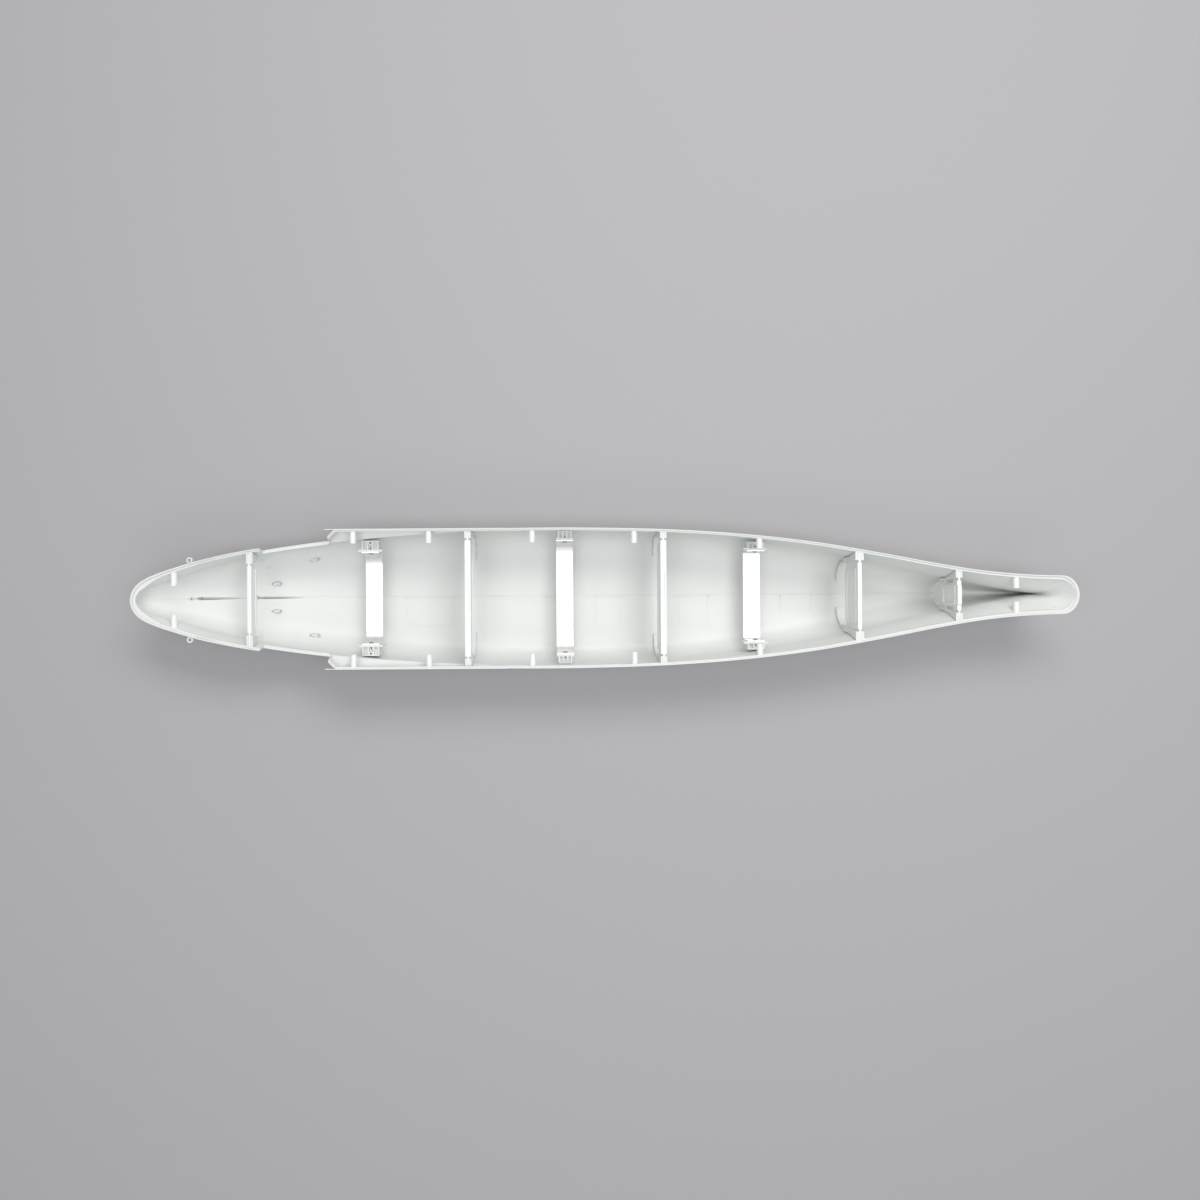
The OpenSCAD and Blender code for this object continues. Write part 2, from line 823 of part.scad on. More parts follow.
// Small open rings outside the stern carry the catapults.
ring_x = -0.8735 * half_length;
ring_radius = 4.2;
ring_bore = 2.4;
ring_height = 5;
ring_reach = 3.1;
function ring_y() = side_y(ring_x, rim_z(ring_x), 0) + 2 * gap;

module catapult_rings() {
    rise = side_y(ring_x + ring_radius, rim_z(ring_x), 0) - side_y(ring_x - ring_radius, rim_z(ring_x), 0);
    color("gainsboro")
        both_sides()
            translate([ring_x, ring_y(), rim_z(ring_x) - ring_height])
                rotate([0, 0, atan(rise / (2 * ring_radius))])
                    difference() {
                        translate([0, ring_reach, 0])
                            cylinder(r = ring_radius, h = ring_height);
                        translate([0, ring_reach, -1])
                            cylinder(r = ring_bore, h = ring_height + 2);
                        translate([-2 * ring_radius, -4 * ring_radius, -1])
                            cube([4 * ring_radius, 4 * ring_radius, ring_height + 2]);
                    }
}

hull_stern();
hull_quarter();
hull_aft();
hull_middle();
hull_fore();
hull_bow();
stern_frame();
aft_frame();
mid_frame();
fore_frame();
bow_frame();
stern_frame_guides();
aft_frame_guides();
mid_frame_guides();
fore_frame_guides();
bow_frame_guides();
aft_strap();
mid_strap();
fore_strap();
aft_bracket_port();
aft_bracket_starboard();
mid_bracket_port();
mid_bracket_starboard();
fore_bracket_port();
fore_bracket_starboard();
aft_strap_screws();
mid_strap_screws();
fore_strap_screws();
deck_pegs_port();
deck_pegs_starboard();
inner_shaft_bushes();
outer_shaft_bushes();
rudder_bushes();
catapult_rings();
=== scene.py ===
import json
import math

import bmesh
import bpy
from mathutils import Matrix, Vector


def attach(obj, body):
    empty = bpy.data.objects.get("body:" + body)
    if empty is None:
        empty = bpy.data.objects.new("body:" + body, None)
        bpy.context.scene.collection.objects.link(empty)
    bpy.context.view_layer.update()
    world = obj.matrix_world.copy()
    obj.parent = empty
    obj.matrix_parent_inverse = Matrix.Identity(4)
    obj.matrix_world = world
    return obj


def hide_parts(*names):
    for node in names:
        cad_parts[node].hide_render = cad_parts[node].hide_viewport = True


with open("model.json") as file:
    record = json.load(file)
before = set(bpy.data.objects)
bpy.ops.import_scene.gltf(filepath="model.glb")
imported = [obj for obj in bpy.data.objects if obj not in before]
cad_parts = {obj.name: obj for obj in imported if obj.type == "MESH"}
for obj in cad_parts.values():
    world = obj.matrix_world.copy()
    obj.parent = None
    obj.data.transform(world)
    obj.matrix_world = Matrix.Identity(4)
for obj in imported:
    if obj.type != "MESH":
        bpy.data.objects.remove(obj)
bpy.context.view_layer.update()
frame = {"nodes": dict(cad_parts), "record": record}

MM = 0.001

# ---------------------------------------------------------------- hull dimensions, in millimetres
LENGTH = 1315.0
BEAM = 195.0
DEPTH = 95.0
WALL = 2.4
BAY_DROP = 22.0
HALF_LENGTH = LENGTH / 2
HALF_BEAM = BEAM / 2

# Table of offsets: station, rim half-breadth, waist half-breadth, flat of the bottom,
# power of the bilge curve, height of the bottom, height of the rim.
RIM, WAIST, FLAT, POWER, BOTTOM, SHEER = range(1, 7)
OFFSETS = [
    (-1.00, 0.292, 0.195, 0.02, 1.9, 0.640, 0.950),
    (-0.965, 0.325, 0.240, 0.03, 1.9, 0.540, 0.946),
    (-0.93, 0.412, 0.315, 0.04, 1.9, 0.450, 0.940),
    (-0.85, 0.574, 0.480, 0.06, 2.0, 0.330, 0.928),
    (-0.75, 0.712, 0.655, 0.10, 2.1, 0.190, 0.920),
    (-0.60, 0.845, 0.815, 0.22, 2.2, 0.050, 0.990),
    (-0.45, 0.925, 0.915, 0.40, 2.4, 0.000, 1.000),
    (-0.30, 0.982, 0.980, 0.56, 2.6, 0.000, 1.000),
    (-0.15, 1.000, 1.000, 0.64, 2.7, 0.000, 1.000),
    (0.00, 0.993, 0.995, 0.66, 2.7, 0.000, 1.000),
    (0.15, 0.961, 0.955, 0.60, 2.6, 0.000, 0.998),
    (0.30, 0.890, 0.860, 0.48, 2.4, 0.000, 0.992),
    (0.45, 0.771, 0.710, 0.32, 2.2, 0.000, 0.988),
    (0.60, 0.595, 0.490, 0.16, 2.0, 0.000, 1.000),
    (0.70, 0.464, 0.340, 0.08, 1.9, 0.000, 1.010),
    (0.80, 0.352, 0.200, 0.03, 1.8, 0.000, 1.022),
    (0.90, 0.289, 0.090, 0.02, 1.7, 0.000, 1.036),
    (1.00, 0.267, 0.020, 0.02, 1.6, 0.000, 1.050),
]
STEM_PROFILE = [
    (0.00, 0.935), (0.08, 0.968), (0.17, 0.981), (0.29, 0.974),
    (0.42, 0.960), (0.56, 0.963), (0.80, 0.980), (1.05, 1.000),
]


def slope(table, i, column):
    low, high = max(i - 1, 0), min(i + 1, len(table) - 1)
    return (table[high][column] - table[low][column]) / (table[high][0] - table[low][0])


def curve(table, at, column):
    """Smooth curve through one column of a table."""
    i = 0
    while i < len(table) - 2 and table[i + 1][0] <= at:
        i += 1
    width = table[i + 1][0] - table[i][0]
    u = min(max((at - table[i][0]) / width, 0.0), 1.0)
    first, last = table[i][column], table[i + 1][column]
    first_slope, last_slope = slope(table, i, column) * width, slope(table, i + 1, column) * width
    return (first * (2 * u ** 3 - 3 * u ** 2 + 1) + first_slope * (u ** 3 - 2 * u ** 2 + u)
            + last * (3 * u ** 2 - 2 * u ** 3) + last_slope * (u ** 3 - u ** 2))


def ramp(at, start, end):
    return min(max((at - start) / (end - start), 0.0), 1.0)


STERN_ROUND = 30.0
BOW_ROUND = 22.0
WAIST_RATIO = 0.55
FLARE_POWER = 1.5
STEM_BAR = 1.6
MOST_FLOOR = 9.0


def end_round(x):
    aft = ramp(x, -HALF_LENGTH, -HALF_LENGTH + STERN_ROUND)
    fore = ramp(-x, -HALF_LENGTH, -HALF_LENGTH + BOW_ROUND)
    return math.sqrt(aft * (2 - aft)) * math.sqrt(fore * (2 - fore))


def offset_at(x, column):
    return curve(OFFSETS, x / HALF_LENGTH, column)


def bottom_z(x):
    return max(DEPTH * offset_at(x, BOTTOM), 0.0)


def sheer_z(x):
    return DEPTH * offset_at(x, SHEER)


def waist_z(x):
    return bottom_z(x) + WAIST_RATIO * (sheer_z(x) - bottom_z(x))


def breadth(x, column, inset):
    least = STEM_BAR - min(inset, STEM_BAR) / 4
    return max((HALF_BEAM * offset_at(x, column) - inset) * end_round(x), least)


def flat_y(x, inset):
    return min(max(HALF_BEAM * offset_at(x, FLAT) - inset / 3, STEM_BAR), breadth(x, WAIST, inset))


def floor_rise(x, inset):
    """The floor is thicker where the sides run down to a narrow vee."""
    steep = (waist_z(x) - bottom_z(x)) / breadth(x, WAIST, inset) / offset_at(x, POWER)
    return min(inset * math.sqrt(1 + steep * steep), MOST_FLOOR)


def side_y(x, z, inset):
    low = bottom_z(x) + floor_rise(x, inset)
    waist = waist_z(x)
    power = offset_at(x, POWER)
    flat = flat_y(x, inset)
    at_waist = breadth(x, WAIST, inset)
    if z < waist:
        lower = 1 - ramp(z, low, waist)
        return flat + (at_waist - flat) * (1 - lower ** power) ** (1 / power)
    upper = (z - waist) / (sheer_z(x) - waist)
    return at_waist + (breadth(x, RIM, inset) - at_waist) * upper ** FLARE_POWER


BAY_AFT = -0.727 * HALF_LENGTH
BAY_FORE = -0.581 * HALF_LENGTH
PLATE_START = BAY_FORE - 3
PLATE_FULL = BAY_FORE + 11
PLATE_MERGE = -0.2 * HALF_LENGTH
SHELF_LIP = 1.5
SHELF_CLEARANCE = 4.0
BAY_RIM = DEPTH - BAY_DROP


def rim_z(x):
    return BAY_RIM if BAY_AFT < x < BAY_FORE else sheer_z(x)


def shelf_z(x):
    return max(BAY_RIM - 2 * SHELF_LIP, waist_z(x) + SHELF_CLEARANCE)


def plate_y(x, z, inset):
    side = side_y(x, z, inset)
    if PLATE_START < x < PLATE_MERGE:
        side += max(HALF_BEAM - inset - side, 0) * ramp(x, PLATE_START, PLATE_FULL)
    return side


FAN_START = 0.79 * HALF_LENGTH
END_WALL = 3.0


def stem_x(z):
    return HALF_LENGTH * curve(STEM_PROFILE, z / DEPTH, 1)


def fan_x(x, z, inset):
    """The stem rakes, so the last stations fan out to follow its profile."""
    if x > FAN_START:
        end = stem_x(z)
        if inset > 0:
            end -= END_WALL + MOST_FLOOR * ramp(-z, -sheer_z(x), 0)
        return FAN_START + (x - FAN_START) / (HALF_LENGTH - FAN_START) * (end - FAN_START)
    if -x > FAN_START:
        end = HALF_LENGTH - (END_WALL + max(inset - LEDGE_WIDTH, 0) if inset > 0 else 0)
        return -FAN_START - (-x - FAN_START) / (HALF_LENGTH - FAN_START) * (end - FAN_START)
    return x


MAIN_POST_X = -0.899 * HALF_LENGTH
SECOND_POST_X = -0.767 * HALF_LENGTH
FAIRING_DROP = 13.0
FAIRING_LENGTH = 0.1 * HALF_LENGTH
FAIRING_SWELL = 0.11
SECOND_FAIRING_SHARE = 0.8
POST_CLEARANCE = 4.0


def fairing(x, post):
    along = (x - post - POST_CLEARANCE) / FAIRING_LENGTH
    return FAIRING_DROP * (1 - along) * min(along * 12, 1) if 0 < along < 1 else 0.0


def keel_drop(x):
    return fairing(x, MAIN_POST_X) + SECOND_FAIRING_SHARE * fairing(x, SECOND_POST_X)


def keel_widening(x):
    """The hollow fairings are widest just ahead of each rudder post."""
    return FAIRING_SWELL * keel_drop(x)


# The bulb at the forefoot: half-width, then height and spread as parts of the depth.
BULB_HALF = 6.5
BULB_HEIGHT = 0.17
BULB_SPREAD = 0.13
BULB_START = 0.84 * HALF_LENGTH
BULB_FULL = 0.95 * HALF_LENGTH


def bulb(x, z):
    rise = (z / DEPTH - BULB_HEIGHT) / BULB_SPREAD
    return BULB_HALF * ramp(x, BULB_START, BULB_FULL) * end_round(x) * math.exp(-rise * rise)


END_LIFT = 0.4


def end_lift(x):
    """Keeps the points of the end sections apart in height where they run together."""
    return END_LIFT * (1 - end_round(x))


BILGE_STEPS = 18
SIDE_STEPS = 6
LIP_WIDTH = 1.3
LEDGE_WIDTH = 3.6
BAY_LEDGE = 4.6
STERN_LEDGE = 7.0
LEDGE_WIDENS = 0.94 * HALF_LENGTH
LEDGE_WIDEST = 0.98 * HALF_LENGTH
LEDGE_STEP = 0.3
MOST_SIDE_HEIGHT = 7.5
KEEL_GROOVE = 0.45


def ledge_width(x):
    """The deck ledge inside the rim widens in the boat bays and at the very stern."""
    if BAY_AFT < x < BAY_FORE:
        return BAY_LEDGE
    return LEDGE_WIDTH + (STERN_LEDGE - LEDGE_WIDTH) * ramp(-x, LEDGE_WIDENS, LEDGE_WIDEST)


def bilge_points(x, inset):
    low = bottom_z(x) + floor_rise(x, inset) + end_lift(x)
    power = offset_at(x, POWER)
    points = []
    for i in range(BILGE_STEPS + 1):
        drop = max(math.cos(math.pi / 2 * i / BILGE_STEPS), 0.0) ** (2 / power)
        z = low + (waist_z(x) - low) * (1 - drop)
        points.append((side_y(x, z, inset) + (0 if inset else bulb(x, z)), z, inset))
    return points


def side_points(x, low, high, inset, measure):
    heights = [low + (high - low) * i / SIDE_STEPS for i in range(1, SIDE_STEPS)]
    return [(measure(x, z, inset), z, inset) for z in heights]


def half_section(x):
    """One half of the shell's section, from the keel up the outside and down the inside."""
    rim, shelf, waist = rim_z(x), shelf_z(x), waist_z(x)
    step = LEDGE_STEP * min(rim - shelf - SHELF_LIP, MOST_SIDE_HEIGHT)
    inner_shelf = shelf + min(WALL, step)
    plate_foot = shelf + SHELF_LIP
    inner_foot = inner_shelf + step / 3
    under = rim - 2 * step
    inner_floor = bottom_z(x) + floor_rise(x, WALL)
    wide, ledge = keel_widening(x), ledge_width(x)
    points = [
        (0.7 * STEM_BAR + wide, bottom_z(x) - keel_drop(x), 0),
        (0.9 * STEM_BAR + wide, bottom_z(x) + end_lift(x) / 2, 0),
    ]
    points += bilge_points(x, 0)
    points += side_points(x, waist, shelf, 0, side_y)
    points += [(side_y(x, shelf, 0), shelf, 0), (plate_y(x, plate_foot, 0), plate_foot, 0)]
    points += side_points(x, plate_foot, rim, 0, plate_y)
    points += [
        (plate_y(x, rim, 0), rim, 0),
        (plate_y(x, rim, LIP_WIDTH), rim, LIP_WIDTH),
        (plate_y(x, rim - step, LIP_WIDTH), rim - step, LIP_WIDTH),
        (plate_y(x, rim - step, ledge), rim - step - end_lift(x), ledge),
        (plate_y(x, under, WALL), under, WALL),
    ]
    points += side_points(x, inner_foot, under, WALL, plate_y)[::-1]
    points += [
        (plate_y(x, inner_foot, WALL), inner_foot, WALL),
        (side_y(x, inner_shelf, WALL), inner_shelf, WALL),
    ]
    points += side_points(x, waist, inner_shelf, WALL, side_y)[::-1]
    points += bilge_points(x, WALL)[::-1]
    points += [
        (0.6 * STEM_BAR + wide, inner_floor + end_lift(x) / 2, WALL),
        (0.4 * STEM_BAR + wide, inner_floor - keel_drop(x) - KEEL_GROOVE * end_round(x), WALL),
    ]
    return points


# Stations are an even pace apart between the marks, and close up at the rounded ends.
STEP_RUN = 0.4
STATION_PACE = 6.0
POST_LEAD = 12.0
END_SPREAD = [0, 0.3, 1.2, 2.6, 4.6, 7, 10, 14, 18, 23, 28, 34]


def spread(start, end, pace):
    count = max(int(round((end - start) / pace)), 1)
    return [start + (end - start) * i / count for i in range(1, count)]


def stations():
    aft_edge = -HALF_LENGTH + END_SPREAD[-1]
    fore_edge = HALF_LENGTH - END_SPREAD[-1]
    marks = [
        aft_edge, MAIN_POST_X + POST_CLEARANCE, SECOND_POST_X - POST_LEAD,
        BAY_AFT - STEP_RUN, BAY_AFT + STEP_RUN,
        PLATE_START, BAY_FORE - STEP_RUN, BAY_FORE + STEP_RUN, PLATE_FULL, FAN_START, fore_edge,
    ]
    places = [-HALF_LENGTH + d for d in END_SPREAD[:-1]]
    for start, end in zip(marks, marks[1:]):
        places.append(start)
        places += spread(start, end, STATION_PACE)
    places.append(fore_edge)
    places += [HALF_LENGTH - d for d in END_SPREAD[-2::-1]]
    return places


# ---------------------------------------------------------------- mesh helpers
SMOOTH_ANGLE = math.radians(32)


def make_object(name, mesh_maker, material):
    """Builds a mesh with smooth faces and sharp edges where it bends by more than SMOOTH_ANGLE."""
    mesh = bpy.data.meshes.new(name)
    bm = bmesh.new()
    mesh_maker(bm)
    bmesh.ops.remove_doubles(bm, verts=bm.verts, dist=1e-6)
    bmesh.ops.recalc_face_normals(bm, faces=bm.faces)
    for face in bm.faces:
        face.smooth = True
    for edge in bm.edges:
        if len(edge.link_faces) == 2:
            edge.smooth = edge.calc_face_angle(0.0) < SMOOTH_ANGLE
    bm.to_mesh(mesh)
    bm.free()
    obj = bpy.data.objects.new(name, mesh)
    bpy.context.collection.objects.link(obj)
    mesh.materials.append(material)
    return obj


def shell_mesh(bm):
    rows = []
    for x in stations():
        half = half_section(x)
        loop = [(fan_x(x, z, inset), y, z) for y, z, inset in half]
        loop += [(fan_x(x, z, inset), -y, z) for y, z, inset in reversed(half)]
        rows.append([bm.verts.new(Vector(p) * MM) for p in loop])
    count = len(rows[0])
    for first, second in zip(rows, rows[1:]):
        for j in range(count):
            k = (j + 1) % count
            bm.faces.new((first[j], second[j], second[k], first[k]))
    half = count // 2
    for row in (rows[0], rows[-1]):
        for j in range(half - 1):
            bm.faces.new((row[j], row[j + 1], row[count - 2 - j], row[count - 1 - j]))


# ---------------------------------------------------------------- materials
def socket(group, name, kind, side, default=None):
    """Adds one named input or output to a node group."""
    made = group.interface.new_socket(name=name, in_out=side, socket_type=kind)
    if default is not None:
        made.default_value = default


def moulded_surface_group():
    """Faint flow marks and fine grain for moulded plastic."""
    group = bpy.data.node_groups.new("moulded_surface", "ShaderNodeTree")
    socket(group, "Color", "NodeSocketColor", "INPUT", (0.7, 0.7, 0.7, 1))
    socket(group, "Flow", "NodeSocketFloat", "INPUT", 0.05)
    socket(group, "Roughness", "NodeSocketFloat", "INPUT", 0.45)
    socket(group, "Color", "NodeSocketColor", "OUTPUT")
    socket(group, "Roughness", "NodeSocketFloat", "OUTPUT")
    socket(group, "Height", "NodeSocketFloat", "OUTPUT")
    nodes, links = group.nodes, group.links
    entry = nodes.new("NodeGroupInput")
    exit_node = nodes.new("NodeGroupOutput")
    place = nodes.new("ShaderNodeTexCoord")

    def noise(scale, stretch, detail):
        mapping = nodes.new("ShaderNodeMapping")
        mapping.inputs["Scale"].default_value = stretch
        texture = nodes.new("ShaderNodeTexNoise")
        texture.inputs["Scale"].default_value = scale
        texture.inputs["Detail"].default_value = detail
        links.new(place.outputs["Object"], mapping.inputs["Vector"])
        links.new(mapping.outputs["Vector"], texture.inputs["Vector"])
        return texture.outputs["Fac"]

    cloud = noise(9.0, (1, 2.5, 2.5), 3)
    streak = noise(35.0, (0.6, 3, 3), 2)
    grain = noise(2600.0, (1, 1, 1), 2)

    def math_node(operation, first, second):
        node = nodes.new("ShaderNodeMath")
        node.operation = operation
        for i, value in enumerate((first, second)):
            if isinstance(value, (int, float)):
                node.inputs[i].default_value = value
            else:
                links.new(value, node.inputs[i])
        return node.outputs[0]

    mixed = math_node("ADD", math_node("MULTIPLY", cloud, 0.65), math_node("MULTIPLY", streak, 0.35))
    centred = math_node("SUBTRACT", mixed, 0.5)
    shade = math_node("ADD", math_node("MULTIPLY", centred, entry.outputs["Flow"]), 1.0)
    tint = nodes.new("ShaderNodeVectorMath")
    tint.operation = "SCALE"
    links.new(entry.outputs["Color"], tint.inputs[0])
    links.new(shade, tint.inputs["Scale"])
    links.new(tint.outputs["Vector"], exit_node.inputs["Color"])
    rough = math_node("ADD", entry.outputs["Roughness"], math_node("MULTIPLY", centred, 0.25))
    links.new(rough, exit_node.inputs["Roughness"])
    links.new(grain, exit_node.inputs["Height"])
    return group


MOULDED = moulded_surface_group()
GRAIN_DEPTH = 0.1 * MM


def plastic(name, color, flow, roughness, grain):
    material = bpy.data.materials.new(name)
    material.use_nodes = True
    nodes, links = material.node_tree.nodes, material.node_tree.links
    shader = nodes["Principled BSDF"]
    surface = nodes.new("ShaderNodeGroup")
    surface.node_tree = MOULDED
    surface.inputs["Color"].default_value = (*color, 1)
    surface.inputs["Flow"].default_value = flow
    surface.inputs["Roughness"].default_value = roughness
    bump = nodes.new("ShaderNodeBump")
    bump.inputs["Strength"].default_value = grain
    bump.inputs["Distance"].default_value = GRAIN_DEPTH
    links.new(surface.outputs["Color"], shader.inputs["Base Color"])
    links.new(surface.outputs["Roughness"], shader.inputs["Roughness"])
    links.new(surface.outputs["Height"], bump.inputs["Height"])
    links.new(bump.outputs["Normal"], shader.inputs["Normal"])
    shader.inputs["IOR"].default_value = 1.5
    return material


def brushed_metal(name, color, roughness, grain):
    material = bpy.data.materials.new(name)
    material.use_nodes = True
    nodes, links = material.node_tree.nodes, material.node_tree.links
    shader = nodes["Principled BSDF"]
    shader.inputs["Metallic"].default_value = 1.0
    place = nodes.new("ShaderNodeTexCoord")
    mapping = nodes.new("ShaderNodeMapping")
    mapping.inputs["Scale"].default_value = (220, 6, 6)
    texture = nodes.new("ShaderNodeTexNoise")
    texture.inputs["Scale"].default_value = 12.0
    texture.inputs["Detail"].default_value = 4
    links.new(place.outputs["Object"], mapping.inputs["Vector"])
    links.new(mapping.outputs["Vector"], texture.inputs["Vector"])
    ramp_node = nodes.new("ShaderNodeValToRGB")
    ramp_node.color_ramp.elements[0].position = 0.3
    ramp_node.color_ramp.elements[0].color = (*[c * 0.82 for c in color], 1)
    ramp_node.color_ramp.elements[1].position = 0.7
    ramp_node.color_ramp.elements[1].color = (*color, 1)
    links.new(texture.outputs["Fac"], ramp_node.inputs["Fac"])
    links.new(ramp_node.outputs["Color"], shader.inputs["Base Color"])
    spread_node = nodes.new("ShaderNodeMapRange")
    spread_node.inputs["To Min"].default_value = roughness - 0.08
    spread_node.inputs["To Max"].default_value = roughness + 0.1
    links.new(texture.outputs["Fac"], spread_node.inputs["Value"])
    links.new(spread_node.outputs["Result"], shader.inputs["Roughness"])
    bump = nodes.new("ShaderNodeBump")
    bump.inputs["Strength"].default_value = grain
    bump.inputs["Distance"].default_value = GRAIN_DEPTH
    links.new(texture.outputs["Fac"], bump.inputs["Height"])
    links.new(bump.outputs["Normal"], shader.inputs["Normal"])
    return material


HULL_GREY = plastic("hull_grey", (0.72, 0.735, 0.715), 0.07, 0.42, 0.15)
FRAME_WHITE = plastic("frame_white", (0.82, 0.825, 0.81), 0.05, 0.38, 0.1)
STRAP_METAL = brushed_metal("strap_metal", (0.93, 0.925, 0.92), 0.42, 0.2)
SCREW_METAL = brushed_metal("screw_metal", (0.42, 0.38, 0.36), 0.4, 0.2)

# ---------------------------------------------------------------- pieces
HULL_NODES = ["hull_stern", "hull_quarter", "hull_aft", "hull_middle", "hull_fore", "hull_bow"]


def add_piece(name, mesh_maker, material, replaced=()):
    piece = make_object(name, mesh_maker, material)
    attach(piece, "root")
    if replaced:
        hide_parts(*replaced)
    return piece


def lathe(bm, profile, place, segments=32, hexed=0):
    """Turns (radius, height) points about +Z. The last `hexed` points follow a hexagon."""
    rings = []
    for i, (radius, height) in enumerate(profile):
        ring = []
        for k in range(segments):
            turn = 2 * math.pi * k / segments
            reach = radius
            if i >= len(profile) - hexed:
                reach = radius / math.cos(turn % (math.pi / 3) - math.pi / 6)
            point = Vector((reach * math.cos(turn), reach * math.sin(turn), height)) * MM
            ring.append(bm.verts.new(place @ point))
        rings.append(ring)
    for first, second in zip(rings, rings[1:]):
        for k in range(segments):
            m = (k + 1) % segments
            bm.faces.new((first[k], first[m], second[m], second[k]))
    bm.faces.new(rings[0][::-1])
    bm.faces.new(rings[-1])


def block(bm, centre, size, place=None):
    made = bmesh.ops.create_cube(bm, size=1.0, matrix=Matrix.Diagonal((*[v * MM for v in size], 1.0)))
    move = (place or Matrix.Identity(4)) @ Matrix.Translation(Vector(centre) * MM)
    bmesh.ops.transform(bm, matrix=move, verts=made["verts"])


def facing(point, normal):
    """A placement at a point in millimetres whose +Z looks along a normal."""
    turn = Vector(normal).to_track_quat("Z", "Y").to_matrix().to_4x4()
    return Matrix.Translation(Vector(point) * MM) @ turn


def inner_wall(x, z, side):
    """A point on the inside of the hull side and the direction into the hull there."""
    def spot(px, pz):
        return Vector((fan_x(px, pz, WALL), side * plate_y(px, pz, WALL), pz))
    here = spot(x, z)
    across = (spot(x + 1, z) - here).cross(spot(x, z + 1) - here).normalized()
    if across.y * side > 0:
        across.negate()
    return here, across


# Straps: name, station and half the width over the legs.
STRAPS = [
    ("aft", -0.499 * HALF_LENGTH, 66),
    ("mid", -0.079 * HALF_LENGTH, 81),
    ("fore", 0.333 * HALF_LENGTH, 65),
]
STRAP_TOP = 0.68 * DEPTH
STRAP_THICKNESS = 1.6
SCREW_DROP = 5.5
SCREW_TIP = 7.0
SCREW_RADIUS = 1.5
HEAD_RADIUS = 3.4
HEAD_HEIGHT = 2.2
HEAD_EDGE = 0.7
HEAD_STEPS = 6
THREAD_RINGS = 9
THREAD_RISE = 0.3


def screw_profile():
    """A pan-head screw from its tip up, with a ringed shank and a socket in the head."""
    points = [(0.4, -SCREW_TIP)]
    for i in range(THREAD_RINGS):
        low = -SCREW_TIP + 0.6 + i * (SCREW_TIP - 1.2) / THREAD_RINGS
        points += [(SCREW_RADIUS - THREAD_RISE, low), (SCREW_RADIUS, low + THREAD_RISE)]
    points += [(SCREW_RADIUS, 0), (HEAD_RADIUS - 0.1, 0), (HEAD_RADIUS, 0.2), (HEAD_RADIUS, HEAD_EDGE)]
    for i in range(1, HEAD_STEPS):
        lean = math.pi / 2 * i / HEAD_STEPS
        dome = (HEAD_HEIGHT - HEAD_EDGE) * math.sin(lean)
        points.append((HEAD_RADIUS * math.cos(lean) ** 0.7, HEAD_EDGE + dome))
    points += [(1.35, HEAD_HEIGHT), (1.2, HEAD_HEIGHT - 0.1), (1.2, 0.9)]
    return points


def screws_mesh(x, half):
    def build(bm):
        for side in (1, -1):
            seat = (x, side * (half - STRAP_THICKNESS), STRAP_TOP - SCREW_DROP)
            lathe(bm, screw_profile(), facing(seat, (0, -side, 0)), segments=36, hexed=2)
    return build


# Small details moulded on the hull.
PIP_PITCH = 62.0
PIP_SIZE = (2.4, 1.4, 1.0)
PIP_RUN = 0.9 * LENGTH
BAY_MARGIN = 4.0
LEDGE_DROP = 2.25


def pips_mesh(bm):
    """Locating pips that stand on the deck ledge, an even pitch apart."""
    count = int(PIP_RUN / PIP_PITCH)
    for i in range(count):
        x = (i - (count - 1) / 2) * PIP_PITCH
        if BAY_AFT - BAY_MARGIN < x < BAY_FORE + BAY_MARGIN:
            continue
        z = rim_z(x) - LEDGE_DROP
        for side in (1, -1):
            block(bm, (x, side * (plate_y(x, z, LEDGE_WIDTH) + 0.5), z + 0.3), PIP_SIZE)


# Raised eyelets round the holes in the sides: station, distance below the rim and radius.
SIDE_HOLES = [(-264.0, 13.0, 1.1), (-203.0, 13.0, 1.1), (-144.0, 13.0, 1.1)]
HAWSE_HOLE = (637.0, 8.0, 1.8)
PORT_HOLE = (566.0, 13.0, 1.0)


def eyelet(bm, x, drop, radius, side):
    here, inward = inner_wall(x, rim_z(x) - drop, side)
    profile = [(radius + 0.7, -0.8), (radius + 0.7, 0.4), (radius + 0.4, 0.7), (radius + 0.1, 0.7)]
    profile += [(radius, 0.6), (radius, -0.7), (radius - 0.05, -0.7)]
    lathe(bm, profile, facing(here, inward), segments=28)


def eyelets_mesh(bm):
    for side in (1, -1):
        for hole in (*SIDE_HOLES, HAWSE_HOLE):
            eyelet(bm, *hole, side)
    eyelet(bm, *PORT_HOLE, 1)


def inside_z(x, y):
    """Height of the inside of the shell at any distance out from the centreline."""
    flat, power = flat_y(x, WALL), offset_at(x, POWER)
    low = bottom_z(x) + floor_rise(x, WALL)
    out = ramp(y, flat, breadth(x, WAIST, WALL))
    return low + (waist_z(x) - low) * (1 - (1 - out ** power) ** (1 / power))


# Raised outlines on the starboard side of the floor, between the frames and straps: station of
# the centre, length and width out from the centreline.
FLOOR_PANELS = [(-252, 70, 44), (-118, 76, 54), (12, 36, 52), (140, 42, 46), (292, 46, 30)]
PANEL_LINE = 1.0
PANEL_RISE = 0.5
PANEL_NEAR = 2.5


def floor_panels_mesh(bm):
    for centre, length, width in FLOOR_PANELS:
        floor_at = inside_z(centre, 0)
        reach = min(width, flat_y(centre + length / 2, WALL) - 2)
        height = 2 * PANEL_RISE
        block(bm, (centre, -reach, floor_at), (length, PANEL_LINE, height))
        block(bm, (centre, -PANEL_NEAR, floor_at), (1.5 * length, PANEL_LINE, height))
        for end in (-length / 2, length / 2):
            block(bm, (centre + end, -reach / 2, floor_at), (PANEL_LINE, reach, height))


